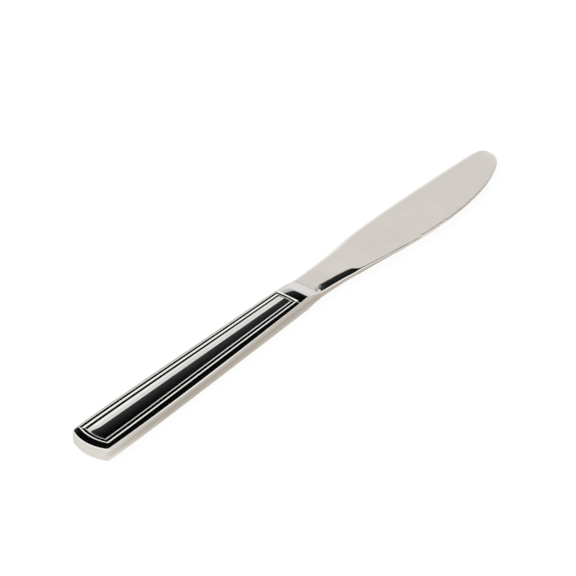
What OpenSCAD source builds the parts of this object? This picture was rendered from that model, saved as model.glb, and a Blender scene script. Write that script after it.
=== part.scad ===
// Table knife with a hollow handle, lying flat on its lower half shell.
// +X runs along the knife from the butt to the tip, +Y to the back of the blade, +Z up.
// The origin is under the middle of the knife's box, on the surface that it lies on.

/* [Handle] */
// Length from the top of the butt's arch to the joint with the bolster
handle_len = 107.4; // [90:0.2:125]
// Width across the side walls at the butt
butt_w = 16.4; // [15:0.1:19]
// Width across the side walls at the joint
joint_w = 12; // [10.6:0.1:13.6]
// Bulge of each side wall between the butt and the joint
side_swell = 0.7; // [0:0.05:1]
// Thickness over the threads
handle_t = 6.8; // [6:0.1:8.5]
// Rise of the arched butt
butt_arch = 2.1; // [0.6:0.1:3]
// Radius of the two corners of the butt
corner_r = 0.9; // [0.3:0.1:1.4]

/* [Bevel and threads] */
// Width of the side bevel at the butt
bevel_w_butt = 1.55; // [1.2:0.05:2]
// Width of the side bevel at the joint
bevel_w_joint = 1.3; // [1:0.05:1.6]
// Extra width of the side bevel halfway along the handle
bevel_swell = 0.5; // [0:0.05:0.7]
// Width of the bevel along the butt
bevel_w_end = 2.6; // [1.4:0.05:3]
// Fall of the bevels at the butt
bevel_fall_butt = 0.9; // [0.5:0.01:1.1]
// Fall of the side bevel at the joint
bevel_fall_joint = 0.66; // [0.3:0.01:0.9]
// Extra fall of the side bevel halfway along the handle
fall_swell = 0.32; // [0:0.01:0.4]
// Spacing of the two threads at the butt
thread_gap_butt = 1.9; // [1.5:0.05:2.1]
// Distance from the butt's bevel to the panel
thread_gap_end = 1.55; // [1.3:0.05:1.9]
// Spacing of the two threads at the joint
thread_gap_joint = 1.55; // [1.3:0.05:1.8]
// Spacing of the two threads that cross the handle at the joint
thread_gap_cross = 1.15; // [0.9:0.05:1.5]
// Distance from the joint to the crest of the last cross thread
cross_thread_in = 0.7; // [0.5:0.05:1]
// Bulge of the cross threads towards the blade
cross_arch = 0.7; // [0:0.05:1]
// Depth of the groove between the threads
groove_depth = 0.22; // [0.12:0.01:0.35]
// Depth of the panel's middle below the threads
panel_sink = 0.06; // [0.03:0.01:0.15]
// Radius of the crown across the panel
crown_r = 32; // [20:0.5:70]
// Length over which the crown flattens at the butt's end of the panel
crown_run = 4; // [2:0.5:8]
// Fall of the last cross thread where it meets the side walls
cross_fall = 0.66; // [0.08:0.01:0.9]
// Fall from the threads to the bolster at the joint
joint_fall = 0.1; // [0.05:0.01:0.2]

/* [Shells and filling] */
// Wall of the pressed half shells
shell_wall = 0.85; // [0.5:0.05:1]
// Wall of the shells at the joint, which the tang passes through
joint_wall = 1.6; // [0.8:0.1:3]
// Clearance round the tang in that wall
tang_clearance = 0.15; // [0.05:0.05:0.3]

/* [Bolster and tang] */
// Length from the joint to the start of the blade's ground face
bolster_len = 10.6; // [8:0.1:14]
// Length of the bolster's full shoulder before it scoops down
shoulder_len = 3.8; // [1.5:0.1:5]
// Thickness of the neck at the start of the blade
neck_t = 3.4; // [2.6:0.1:4]
// Crown across the shoulder
shoulder_crown = 0.5; // [0.1:0.01:0.7]
// How much each side of the bolster draws in
waist_in = 0.25; // [0:0.05:0.6]
// Length of the tang inside the handle
tang_len = 45; // [30:1:70]
// Width of the tang at the bolster
tang_w = 6; // [4.5:0.1:7]
// Width of the tang at its end
tang_end_w = 4; // [3:0.1:4.5]
// Thickness of the tang
tang_t = 3; // [2:0.1:3.6]

/* [Blade] */
// Length from the start of the ground face to the tip
blade_len = 118.8; // [100:0.1:140]
// Greatest width of the blade
blade_w = 22.06; // [18.5:0.02:24]
// Thickness of the back of the blade at the neck
back_t = 3.4; // [2.2:0.1:3.7]
// Thickness of the blunt edge at the neck
heel_t = 3.4; // [1.8:0.1:3.7]
// Length of the ground face that runs out on the neck
grind_run = 0.6; // [0.2:0.1:1.5]

/* [Teeth] */
// Distance from the start of the ground face to the first tooth
teeth_start = 54.5; // [40:0.5:70]
// Pitch of the teeth along the edge
tooth_pitch = 1.15; // [1:0.05:2]
// Depth of the notches between the teeth
tooth_depth = 0.6; // [0.2:0.05:0.8]
// Thickness at the roots of the notches
tooth_root_t = 0.7; // [0.4:0.05:0.9]
// Thickness at the crests of the teeth
tooth_crest_t = 0.5; // [0.3:0.05:0.6]
// Width of the band along the edge that the teeth are ground into
edge_band = 0.9; // [0.8:0.05:1.5]

/* [Hidden] */

// How far a cut runs past what it cuts
overrun = 0.5;
neck_x = handle_len + bolster_len;
total_len = neck_x + blade_len;
half_t = handle_t / 2;

function lerp(a, b, q) = a + (b - a) * q;
function clamp01(q) = min(max(q, 0), 1);
function smooth(q) = let (c = clamp01(q)) c * c * (3 - 2 * c);
function last(v) = v[len(v) - 1];
function reversed(v) = [for (i = [len(v) - 1 : -1 : 0]) v[i]];

// Relief of the handle. A feature number tells how far a point lies inside the outline:
// 0 arris, 1 outer thread, 2 groove, 3 inner thread, 4 foot of the inner thread, 5 rim of the panel.
f_panel = 9;
f_crest = 0.05;
f_marks = [0, 0.45, 1 - f_crest, 1 + f_crest, 1.5, 2, 2.5, 3 - f_crest, 3 + f_crest, 3.5, 4, 5];
// Places of the features past the outer thread, in shares of the spacing of the threads
feature_shares = [0, 0, 0.42, 1, 1.3, 1.42];
// Columns of the panel from its rim to the middle, and rows along it
panel_column_shares = [0.34, 0.68, 1];
panel_row_shares = [0.02, 0.05, 0.35, 0.65, 0.95, 0.98];
bevel_power = 1.15;
groove_power = 1.1;
swell_power = 0.7;
// Share of the crown's rise that is missing at the butt's end of the panel
crown_end_share = 0.27;

function handle_q(x) = x / handle_len;
function middle_swell(x) = sin(180 * clamp01(handle_q(x)));
function handle_half_w(x) =
    lerp(butt_w, joint_w, handle_q(x)) / 2 + side_swell * sin(180 * pow(clamp01(handle_q(x)), swell_power));
function bevel_w(x) = lerp(bevel_w_butt, bevel_w_joint, handle_q(x)) + bevel_swell * middle_swell(x);
function bevel_fall(x) = lerp(bevel_fall_butt, bevel_fall_joint, handle_q(x)) + fall_swell * middle_swell(x);
function thread_gap(x) = lerp(thread_gap_butt, thread_gap_joint, handle_q(x));

// Distance from the outline to feature f, for a bevel's width and a spacing of the threads
function feature_in(f, bevel, gap) =
    let (i = floor(f))
    f <= 1 ? bevel * f
    : bevel + gap * (i >= 5 ? last(feature_shares) : lerp(feature_shares[i], feature_shares[i + 1], f - i));

// Panel: half its width, and the fall of its rim, which the crown rises from
function panel_half_w(x) = handle_half_w(x) - feature_in(5, bevel_w(x), thread_gap(x));
function crown_rise(x) = pow(panel_half_w(x), 2) / (2 * crown_r);
function rim_fall(x) = panel_sink + crown_rise(x);

// Fall of the surface below the threads at feature f, with the falls of the arris and of the rim
function groove_fall(depth, q) = depth * pow(clamp01(q / (1 - f_crest)), groove_power);
function relief_fall(f, fall, rim = groove_depth) =
    f < 1 ? fall * pow(clamp01(1 - f / (1 - f_crest)), bevel_power)
    : f < 2 ? groove_fall(groove_depth, f - 1 - f_crest)
    : f < 3 ? groove_fall(groove_depth, 3 - f_crest - f)
    : groove_fall(rim, f - 3 - f_crest);

// Rows across the handle: [x on the centre line, bend at the side walls, feature from the butt,
// feature from the joint]. Columns along it: [side, feature from the side wall, share across the panel].
panel_from = feature_in(5, bevel_w_end, thread_gap_end);
panel_to = handle_len - feature_in(5, cross_thread_in, thread_gap_cross);
rows = concat(
    [for (f = f_marks) [feature_in(f, bevel_w_end, thread_gap_end), butt_arch, f, f_panel]],
    [for (s = panel_row_shares)
        [lerp(panel_from, panel_to, s), lerp(butt_arch, -cross_arch, s), f_panel, f_panel]],
    [for (f = reversed(f_marks))
        [handle_len - feature_in(f, cross_thread_in, thread_gap_cross), -cross_arch * min(f, 1), f_panel, f]]
);
half_columns = concat(
    [for (f = f_marks) [1, f, 0]],
    [for (s = panel_column_shares) [1, f_panel, s]]
);
columns = concat(
    half_columns,
    [for (c = reversed([for (i = [0 : len(half_columns) - 2]) half_columns[i]])) [-1, c[1], c[2]]]
);

function column_y(c, x) =
    let (inset = feature_in(min(c[1], 5), bevel_w(x), thread_gap(x)))
    c[0] * (handle_half_w(x) - inset) * (1 - c[2]);

function surface_fall(r, c, x) =
    let (
        f = min(c[1], r[2], r[3]),
        fall = r[2] < c[1] ? bevel_fall_butt : bevel_fall(x),
        flattening = crown_end_share * pow(1 - clamp01((r[0] - panel_from) / crown_run), 2),
        panel = rim_fall(x) - crown_rise(x) * (1 - pow(1 - c[2], 2)) * (1 - flattening),
        wall = relief_fall(f, fall, rim_fall(x)),
        framed = f == f_panel ? panel : c[1] == f_panel && f > 3 ? min(wall, panel) : wall,
        crossing = relief_fall(min(c[1], 1), cross_fall)
            + (r[3] < 1 ? joint_fall * (1 - r[3]) : relief_fall(r[3], 0))
    )
    r[3] <= 2 ? min(framed, crossing) : framed;

// One point of the handle's upper surface, with the butt's corners rounded
function handle_point(r, c) =
    let (
        v = column_y(c, r[0]) / handle_half_w(r[0]),
        x = r[0] + r[1] * v * v,
        side_in = handle_half_w(x) - abs(column_y(c, x)),
        a = corner_r - side_in,
        b = corner_r - r[0],
        k = min(a, b) > 0 ? max(a, b) / norm([a, b]) : 1
    )
    [
        x + (k < 1 ? b * (1 - k) : 0),
        c[0] * (handle_half_w(x) - side_in - (k < 1 ? a * (1 - k) : 0)),
        handle_t - surface_fall(r, c, x)
    ];

module upper_half() {
    nr = len(rows);
    nc = len(columns);
    surface = [for (r = rows, c = columns) handle_point(r, c)];
    rim = concat(
        [for (i = [0 : nr - 2]) i * nc],
        [for (j = [0 : nc - 2]) (nr - 1) * nc + j],
        [for (i = [nr - 1 : -1 : 1]) i * nc + nc - 1],
        [for (j = [nc - 1 : -1 : 1]) j]
    );
    n = len(rim);
    first = nr * nc;
    seam = [for (k = rim) [surface[k][0], surface[k][1], half_t]];
    top_faces = [
        for (i = [0 : nr - 2], j = [0 : nc - 2], t = [0, 1])
        let (
            a = i * nc + j,
            b = a + nc,
            falling = (i < nr / 2) == (j < floor(nc / 2))
        )
        falling ? (t == 0 ? [a, b, b + 1] : [a, b + 1, a + 1])
            : (t == 0 ? [a, b, a + 1] : [b, b + 1, a + 1])
    ];
    wall_faces = [
        for (k = [0 : n - 1])
        let (m = (k + 1) % n)
        [rim[k], first + k, first + m, rim[m]]
    ];
    seam_face = [for (k = [n - 1 : -1 : 0]) first + k];
    polyhedron(concat(surface, seam), concat(top_faces, wall_faces, [seam_face]), convexity = 8);
}

// Cavity of the handle and the solid that fills it
cavity_half_t = half_t - rim_fall(panel_from) - shell_wall;
cavity_steps = 16;

function cavity_half_w(x) = handle_half_w(x) - shell_wall;
cavity_outline = concat(
    [
        for (i = [0 : cavity_steps])
        let (v = lerp(-1, 1, i / cavity_steps), x = shell_wall + butt_arch * v * v)
        [x, v * cavity_half_w(x)]
    ],
    [for (side = [1, -1]) [handle_len - joint_wall, side * cavity_half_w(handle_len - joint_wall)]]
);

module cavity() {
    translate([0, 0, half_t - cavity_half_t])
        linear_extrude(height = 2 * cavity_half_t) polygon(cavity_outline);
}

// The tang's plan with a clearance, from its end to past the joint
function tang_half_w(x) = lerp(tang_end_w, tang_w, (x - handle_len + tang_len) / tang_len) / 2;
module tang_room(clearance) {
    from_x = handle_len - tang_len;
    to_x = handle_len + overrun;
    t = tang_t / 2 + clearance;
    translate([0, 0, half_t - t])
        linear_extrude(height = 2 * t)
            polygon([
                [from_x, tang_half_w(from_x) + clearance],
                [to_x, tang_half_w(to_x) + clearance],
                [to_x, -tang_half_w(to_x) - clearance],
                [from_x, -tang_half_w(from_x) - clearance]
            ]);
}

module half_shell() {
    difference() {
        upper_half();
        cavity();
        tang_room(tang_clearance);
    }
}

module handle_shell_upper() {
    color("gainsboro") placed() half_shell();
}

module handle_shell_lower() {
    color("silver") placed() translate([0, 0, handle_t]) mirror([0, 0, 1]) half_shell();
}

module handle_filler() {
    color("tan") placed() difference() {
        cavity();
        tang_room(0);
    }
}

// Ribs of the blade from its back to its edge. Each is [x, back, x, edge], where x is a share of
// the blade's length from the neck, and back and edge are shares of its greatest width.
rib_shares = [
    [0, 0.2671, 0, 0.2797],
    [0.1, 0.2886, 0.1, 0.3181],
    [0.2, 0.3271, 0.2, 0.3824],
    [0.3, 0.3905, 0.3, 0.4546],
    [0.4, 0.4078, 0.4, 0.5343],
    [0.5, 0.4088, 0.5, 0.5891],
    [0.6, 0.3983, 0.6, 0.6016],
    [0.7, 0.381, 0.7, 0.5776],
    [0.8, 0.3646, 0.8, 0.5055],
    [0.88, 0.3434, 0.88, 0.3901],
    [0.945, 0.3194, 0.95, 0.2325],
    [0.981, 0.277, 0.988, 0.0615],
    [0.995, 0.1838, 1, -0.1057]
];
// Thickness of the back and of the edge at those ribs, as shares of those at the neck
back_t_shares = [1, 0.82, 0.63, 0.45, 0.365, 0.315, 0.285, 0.265, 0.245, 0.225, 0.205, 0.185, 0.165];
edge_t_shares = [1, 0.865, 0.62, 0.4, 0.32, 0.25, 0.21, 0.195, 0.18, 0.165, 0.15, 0.135, 0.12];
// Columns of the blade's face from its back to its edge, the last of them on the edge band
face_shares = [0, 0.04, 0.083, 0.3, 0.5, 0.7, 0.917, 0.96, 1];
band_limit_share = 0.2;
// Rounding of the back's corner, as a share of its thickness
back_round_share = 0.08;

ribs = len(rib_shares) - 1;
function table_at(table, t) =
    let (i = min(floor(t), ribs - 1)) lerp(table[i], table[i + 1], t - i);

// Smooth curve through the ribs' shares, at rib number t
function curve(a, b, c, d, q) =
    (2 * b + (c - a) * q + (2 * a - 5 * b + 4 * c - d) * q * q + (3 * b - 3 * c + d - a) * q * q * q) / 2;
function rib_at(t) =
    let (
        i = min(floor(t), ribs - 1),
        before = i > 0 ? rib_shares[i - 1] : 2 * rib_shares[0] - rib_shares[1],
        after = i < ribs - 1 ? rib_shares[i + 2] : 2 * rib_shares[ribs] - rib_shares[ribs - 1]
    )
    curve(before, rib_shares[i], rib_shares[i + 1], after, t - i);
function back_point(t) = let (r = rib_at(t)) [neck_x + blade_len * r[0], blade_w * r[1]];
function edge_point(t) = let (r = rib_at(t)) [neck_x + blade_len * r[2], -blade_w * r[3]];

// Length along the edge from the neck, tabled against the rib number
edge_steps = 20;
edge_samples = [for (i = [0 : ribs * edge_steps]) edge_point(i / edge_steps)];
function running(points, i = 1, sum = 0) =
    i >= len(points) ? [] : let (s = sum + norm(points[i] - points[i - 1]))
        concat([s], running(points, i + 1, s));
edge_lengths = concat([0], running(edge_samples));

// Middle of the knife's box across, which with half its length puts the origin under the box
handle_side = max([for (r = rows) handle_point(r, columns[0])[1]]);
back_side = max([for (i = [0 : ribs * edge_steps]) back_point(i / edge_steps)[1]]);
mid_y = (max(handle_side, back_side) + min([for (p = edge_samples) p[1]])) / 2;
module placed() {
    translate([-total_len / 2, -mid_y, 0]) children();
}

length_table = [for (i = [0 : len(edge_lengths) - 1]) [edge_lengths[i], i / edge_steps]];
function rib_number(along) = lookup(along, length_table);

tooth_count = floor((last(edge_lengths) - teeth_start) / tooth_pitch) - 1;

// Half thickness of the blade at rib number t and share s from back to edge, before the teeth
function blade_half_t(t, s, edge_t) =
    let (
        back = back_t * table_at(back_t_shares, t),
        round_off = s == 0 ? back * back_round_share : 0
    )
    lerp(back, edge_t, s) / 2 - round_off;
function plain_edge_t(t) = heel_t * table_at(edge_t_shares, t);

// A ring goes over the upper face from back to edge, and back underneath
function ring(plan, halves) = concat(
    [for (i = [0 : len(plan) - 1]) [plan[i][0], plan[i][1], half_t + halves[i]]],
    [for (i = [len(plan) - 1 : -1 : 0]) [plan[i][0], plan[i][1], half_t - halves[i]]]
);
function across(x, back, edge) = [for (s = face_shares) [x, lerp(back, -edge, s)]];

// Rings of the tang
tang_rings = [
    for (x = [handle_len - tang_len, handle_len])
    ring(across(x, tang_half_w(x), tang_half_w(x)), [for (s = face_shares) tang_t / 2])
];

// Rings of the bolster: a full shoulder, then a scoop down to the neck
bolster_steps = 12;
shoulder_fade = 3;
function scoop(x) = smooth((x - shoulder_len) / (bolster_len - shoulder_len));
function bolster_half_w(q, neck) = lerp(joint_w / 2, neck, q) - waist_in * sin(180 * q);
function bolster_half_t(x, s) =
    let (
        v = abs(2 * s - 1),
        bevel = 2 * bevel_w_joint / joint_w,
        rim = relief_fall(min((1 - v) / bevel, 1), cross_fall) * (1 - smooth(x / bevel_w_joint / shoulder_fade)),
        full = half_t - joint_fall * pow(1 - min(x / shoulder_len, 1), 2)
    )
    lerp(full - max(rim, shoulder_crown * v * v), neck_t / back_t * blade_half_t(0, s, heel_t), scoop(x));
bolster_rings = [
    for (i = [0 : bolster_steps])
    let (
        q = i / bolster_steps,
        x = handle_len + bolster_len * q,
        back = bolster_half_w(q, back_point(0)[1]),
        edge = bolster_half_w(q, -edge_point(0)[1])
    )
    ring(across(x, back, edge), [for (s = face_shares) bolster_half_t(bolster_len * q, s)])
];

// Shares of a rib at its columns, where the last three keep the width of the edge band
function rib_len(t) = norm(back_point(t) - edge_point(t));
function rib_columns(t) =
    let (band = min(edge_band / rib_len(t), band_limit_share), n = len(face_shares))
    [for (i = [0 : n - 1]) i < n - 3 ? face_shares[i] : 1 - band * (n - 1 - i)];

// One ring of the blade, with its edge set in by a notch and given its own thickness
function blade_ring(t, notch, edge_t) =
    let (
        back = back_point(t),
        edge = edge_point(t),
        shares = rib_columns(t),
        inward = (back - edge) / rib_len(t)
    )
    ring(
        [for (s = shares) lerp(back, edge, s) + (s == 1 ? notch : 0) * inward],
        [for (s = shares) s == 1 ? edge_t / 2 : blade_half_t(t, s, plain_edge_t(t))]
    );

// Rings of the blade, dense along the teeth, where crests and roots alternate
plain_steps = 2;
teeth_from = rib_number(teeth_start);
plain_numbers = concat(
    [rib_number(grind_run)],
    [for (i = [1 : floor(teeth_from * plain_steps)]) i / plain_steps],
    [teeth_from]
);
plain_rings = [for (t = plain_numbers) blade_ring(t, 0, plain_edge_t(t))];
tooth_rings = [
    for (i = [1 : 2 * tooth_count])
    let (
        t = rib_number(teeth_start + i * tooth_pitch / 2),
        root = i % 2 == 1,
        depth = min(tooth_depth, rib_len(t) * band_limit_share / 2),
        root_t = min(tooth_root_t, plain_edge_t(t))
    )
    blade_ring(t, root ? depth : 0, root ? root_t : min(tooth_crest_t, root_t))
];
tip_ring = blade_ring(ribs, 0, plain_edge_t(ribs));

module blade() {
    rings = concat(tang_rings, bolster_rings, plain_rings, tooth_rings, [tip_ring]);
    n = 2 * len(face_shares);
    points = [for (r = rings) for (p = r) p];
    sides = [
        for (i = [0 : len(rings) - 2], k = [0 : n - 1], t = [0, 1])
        let (
            a = i * n + k,
            b = i * n + (k + 1) % n
        )
        t == 0 ? [a, a + n, b + n] : [a, b + n, b]
    ];
    start_cap = [for (k = [0 : n / 2 - 2]) [k, k + 1, n - 2 - k, n - 1 - k]];
    end_cap = [for (q = start_cap) [for (k = reversed(q)) (len(rings) - 1) * n + k]];
    color("whitesmoke") placed() polyhedron(points, concat(start_cap, sides, end_cap), convexity = 8);
}

handle_shell_upper();
handle_shell_lower();
handle_filler();
blade();
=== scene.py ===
# %% [markdown]
# # A polished steel table knife
# The handle is taken to be hollow: two pressed half shells, brazed edge to edge, filled with cement.
# The blade, its bolster and the tang inside the handle are one forging.
# The imported model gives the exact solids. Here the shells and the blade get finer skins inside the same box,
# because polished steel shows every facet, and then the finish that the real surface has,
# with painted reflections on the side walls, the bolster, the edge and the back of the blade.

import math

import bmesh
import bpy
import numpy as np
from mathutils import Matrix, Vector


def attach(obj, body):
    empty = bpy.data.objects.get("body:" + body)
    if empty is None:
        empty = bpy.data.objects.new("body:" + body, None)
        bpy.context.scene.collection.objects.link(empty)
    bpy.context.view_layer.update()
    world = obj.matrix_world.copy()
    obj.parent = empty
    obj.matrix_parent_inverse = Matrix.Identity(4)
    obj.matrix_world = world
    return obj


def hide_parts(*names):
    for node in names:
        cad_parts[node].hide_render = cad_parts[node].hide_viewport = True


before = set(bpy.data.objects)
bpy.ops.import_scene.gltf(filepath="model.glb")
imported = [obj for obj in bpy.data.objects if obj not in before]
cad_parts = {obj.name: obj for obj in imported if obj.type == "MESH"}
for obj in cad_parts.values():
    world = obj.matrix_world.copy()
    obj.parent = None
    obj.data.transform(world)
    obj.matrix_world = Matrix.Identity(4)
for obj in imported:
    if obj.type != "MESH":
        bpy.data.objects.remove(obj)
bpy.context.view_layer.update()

# %% [markdown]
# ## Sizes
# Every piece is drawn in millimetres from a few sizes, nearly all the same as those of the solids.
# The crests of the threads, the shoulder's fall and how far its rim fades, the notches of the teeth and
# the band that they are ground into have values of their own here, which were set by comparing pictures.
# The notches are deep over a first run of the toothed edge and fade over a second one to a share of that.
# In the solids they are deep all along.
# The room inside the shells is a flat pocket. Its wall is SHELL_WALL at the panel's rim by the butt and at
# the ends of the side walls, and is thicker or thinner elsewhere.
# X runs from the butt to the tip here, with 0 at the butt. It is moved to the middle of the knife at the end.

# %% Sizes of the handle, mm
MM = 0.001
HANDLE_LEN, HANDLE_T = 107.4, 6.8
BUTT_W, JOINT_W = 16.4, 12.0
SIDE_SWELL, SWELL_POWER = 0.7, 0.7
BUTT_ARCH, CORNER_R = 2.1, 0.9
BEVEL_W, BEVEL_SWELL = (1.55, 1.3), 0.5
BEVEL_FALL, FALL_SWELL = (0.9, 0.66), 0.32
BEVEL_W_END, THREAD_GAP_END = 2.6, 1.55
THREAD_GAP = (1.9, 1.55)
THREAD_GAP_CROSS = 1.15
CROSS_THREAD_IN, CROSS_ARCH, CROSS_FALL = 0.7, 0.7, 0.66
GROOVE_DEPTH, PANEL_SINK = 0.22, 0.06
CROWN_R, CROWN_RUN, CROWN_END_SHARE = 32.0, 4.0, 0.27
JOINT_FALL = 0.1
SHELL_WALL, JOINT_WALL, TANG_CLEARANCE = 0.85, 1.6, 0.15
HALF_T = HANDLE_T / 2

# %% Sizes of the blade, mm
BOLSTER_LEN, SHOULDER_LEN, NECK_T = 10.6, 3.8, 3.4
SHOULDER_CROWN, WAIST_IN = 0.5, 0.25
TANG_LEN, TANG_W, TANG_END_W, TANG_T = 45.0, 6.0, 4.0, 3.0
BLADE_LEN, BLADE_W = 118.8, 22.06
BACK_T, HEEL_T = 3.4, 3.4
TEETH_START, TOOTH_PITCH, TOOTH_DEPTH = 54.5, 1.15, 0.65
EDGE_BAND = 1.4
DEEP_RUN, FADE_RUN, SHALLOW_SHARE = 9, 9, 0.4
NECK_X = HANDLE_LEN + BOLSTER_LEN
TOTAL_LEN = NECK_X + BLADE_LEN
print("length of the knife, mm:", TOTAL_LEN)


# %% Small helpers
def lerp(a, b, q):
    return a + (b - a) * q


def smooth(q):
    q = np.clip(q, 0, 1)
    return q * q * (3 - 2 * q)


def along_handle(ends, x):
    return lerp(ends[0], ends[1], x / HANDLE_LEN)


# %% [markdown]
# ## Section of the threads
# The handle is framed by a bevel and two raised threads with a groove between them.
# A feature number f tells how far a point lies inside the outline: 0 is the arris, 1 and 3 are the threads,
# 2 the groove between them, 4 the foot of the inner one, 5 the rim of the panel.
# One curve of height against f then serves the whole frame.
# Pressed metal has no sharp corners, so the curve is blurred by a fraction of a thread.

# %% Blurred section curve
F_PANEL = 9.0
CREST = 0.065
BEVEL_POWER, GROOVE_POWER = 1.15, 1.1
SECTION_BLUR = 0.05
FEATURE_SHARES = np.array([0, 0, 0.42, 1, 1.3, 1.42])
F_TABLE = np.linspace(-1.5, 7.5, 3601)


def blurred(values):
    step = F_TABLE[1] - F_TABLE[0]
    reach = int(4 * SECTION_BLUR / step)
    kernel = np.exp(-0.5 * (np.arange(-reach, reach + 1) * step / SECTION_BLUR) ** 2)
    padded = np.pad(values, reach, mode="edge")
    return np.convolve(padded, kernel / kernel.sum(), mode="valid")


def groove_share(q):
    return np.clip(q / (1 - CREST), 0, 1) ** GROOVE_POWER


BEVEL_TABLE = blurred(np.maximum(1 - F_TABLE / (1 - CREST), 0) ** BEVEL_POWER)
between = np.where(F_TABLE < 2, groove_share(F_TABLE - 1 - CREST), groove_share(3 - CREST - F_TABLE))
GROOVE_TABLE = blurred(np.where((F_TABLE < 1) | (F_TABLE > 3), 0, between))
WALL_TABLE = blurred(np.where(F_TABLE < 3, 0, groove_share(F_TABLE - 3 - CREST)))
CREST_LOSS = GROOVE_DEPTH * float(np.interp(1, F_TABLE, GROOVE_TABLE))


def bevel_share(f):
    return np.interp(f, F_TABLE, BEVEL_TABLE)


def relief_fall(f, fall, rim):
    """Fall below the crests at feature f, where fall and rim are those of the arris and the panel's rim."""
    groove = GROOVE_DEPTH * np.interp(f, F_TABLE, GROOVE_TABLE)
    return fall * bevel_share(f) + groove + rim * np.interp(f, F_TABLE, WALL_TABLE) - CREST_LOSS


def feature_in(f, bevel, gap):
    past = np.interp(f, np.arange(6), FEATURE_SHARES)
    return bevel * np.minimum(f, 1) + gap * past


print("height lost on the crests, mm:", round(CREST_LOSS, 4))

# %% [markdown]
# ## Upper surface of the handle
# The surface is a grid whose rows and columns follow the features, so the mitres of the threads
# fall exactly on its diagonals. A plain grid of the same count would show saw teeth there.

# %% Rows and columns of the grid
ARC_F = 0.1
MARKS = np.concatenate(
    [
        np.linspace(ARC_F, 0.76, 8, endpoint=False),
        np.linspace(0.76, 1.24, 12, endpoint=False),
        np.linspace(1.24, 2.76, 24, endpoint=False),
        np.linspace(2.76, 3.24, 12, endpoint=False),
        np.linspace(3.24, 5, 22),
    ]
)
PANEL_COLUMNS = np.linspace(0, 1, 15)[1:]
PANEL_ROWS = np.concatenate(
    [np.linspace(0, 0.06, 9)[1:], np.linspace(0.06, 0.94, 60)[1:-1], np.linspace(0.94, 1, 9)[:-1]]
)
panel_from = feature_in(5, BEVEL_W_END, THREAD_GAP_END)
panel_to = HANDLE_LEN - feature_in(5, CROSS_THREAD_IN, THREAD_GAP_CROSS)
joint_marks = np.concatenate([[0, 0.06], MARKS])
rows = np.array(
    [[feature_in(f, BEVEL_W_END, THREAD_GAP_END), BUTT_ARCH, f, F_PANEL] for f in MARKS]
    + [[lerp(panel_from, panel_to, s), lerp(BUTT_ARCH, -CROSS_ARCH, s), F_PANEL, F_PANEL] for s in PANEL_ROWS]
    + [
        [HANDLE_LEN - feature_in(f, CROSS_THREAD_IN, THREAD_GAP_CROSS), -CROSS_ARCH * min(f, 1), F_PANEL, f]
        for f in joint_marks[::-1]
    ]
)
half_columns = [[1, f, 0] for f in MARKS] + [[1, F_PANEL, s] for s in PANEL_COLUMNS]
columns = np.array(half_columns + [[-1, f, s] for _, f, s in half_columns[-2::-1]])
print("grid of the handle:", len(rows), "by", len(columns))


# %% Points of the grid
def middle_swell(x):
    return np.sin(np.pi * np.clip(x / HANDLE_LEN, 0, 1))


def half_w(x):
    share = np.clip(x / HANDLE_LEN, 0, 1)
    return along_handle((BUTT_W, JOINT_W), x) / 2 + SIDE_SWELL * np.sin(np.pi * share**SWELL_POWER)


def bevel_w(x):
    return along_handle(BEVEL_W, x) + BEVEL_SWELL * middle_swell(x)


def column_y(column, x):
    inset = feature_in(np.minimum(column[..., 1], 5), bevel_w(x), along_handle(THREAD_GAP, x))
    return column[..., 0] * (half_w(x) - inset) * (1 - column[..., 2])


def crown_rise(x):
    panel_half_w = half_w(x) - feature_in(5, bevel_w(x), along_handle(THREAD_GAP, x))
    return panel_half_w**2 / (2 * CROWN_R)


def surface_fall(row, column, x):
    f = np.minimum(np.minimum(column[..., 1], row[..., 2]), row[..., 3])
    side_fall = along_handle(BEVEL_FALL, x) + FALL_SWELL * middle_swell(x)
    fall = np.where(row[..., 2] < column[..., 1], BEVEL_FALL[0], side_fall)
    rise = crown_rise(x)
    rim = PANEL_SINK + rise
    flattening = CROWN_END_SHARE * (1 - np.clip((row[..., 0] - panel_from) / CROWN_RUN, 0, 1)) ** 2
    panel = rim - CREST_LOSS - rise * (1 - (1 - column[..., 2]) ** 2) * (1 - flattening)
    wall = relief_fall(f, fall, rim)
    joint_f = row[..., 3]
    at_end_wall = (column[..., 1] == F_PANEL) & (f > 3)
    framed = np.where(f > 5, panel, np.where(at_end_wall, np.minimum(wall, panel), wall))
    at_joint = np.where(joint_f < 1, JOINT_FALL * (1 - joint_f), relief_fall(np.maximum(joint_f, 1), 0, 0))
    crossing = CROSS_FALL * bevel_share(np.minimum(column[..., 1], 1)) + at_joint
    return np.where(joint_f <= 2, np.minimum(framed, crossing), framed)


def handle_points(row, column):
    v = column_y(column, row[..., 0]) / half_w(row[..., 0])
    x = row[..., 0] + row[..., 1] * v * v
    side_in = half_w(x) - abs(column_y(column, x))
    a, b = CORNER_R - side_in, CORNER_R - row[..., 0]
    k = np.where(np.minimum(a, b) > 0, np.maximum(a, b) / np.maximum(np.hypot(a, b), 1e-9), 1)
    px = x + np.where(k < 1, b * (1 - k), 0)
    py = column[..., 0] * (half_w(x) - side_in - np.where(k < 1, a * (1 - k), 0))
    return np.stack([px, py, HANDLE_T - surface_fall(row, column, x)], -1)


ROW, COLUMN = rows[:, None, :], columns[None, :, :]
top_grid = handle_points(ROW, COLUMN)
print("crest height, mm:", round(float(top_grid[..., 2].max()), 3))

# %% [markdown]
# ## Rounded arris and side walls
# A light line runs along the arris in the photograph, so the corner is taken to be rounded.
# The grid therefore stops short of the outline, and a short arc of a few rings carries it over to the wall.

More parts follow.
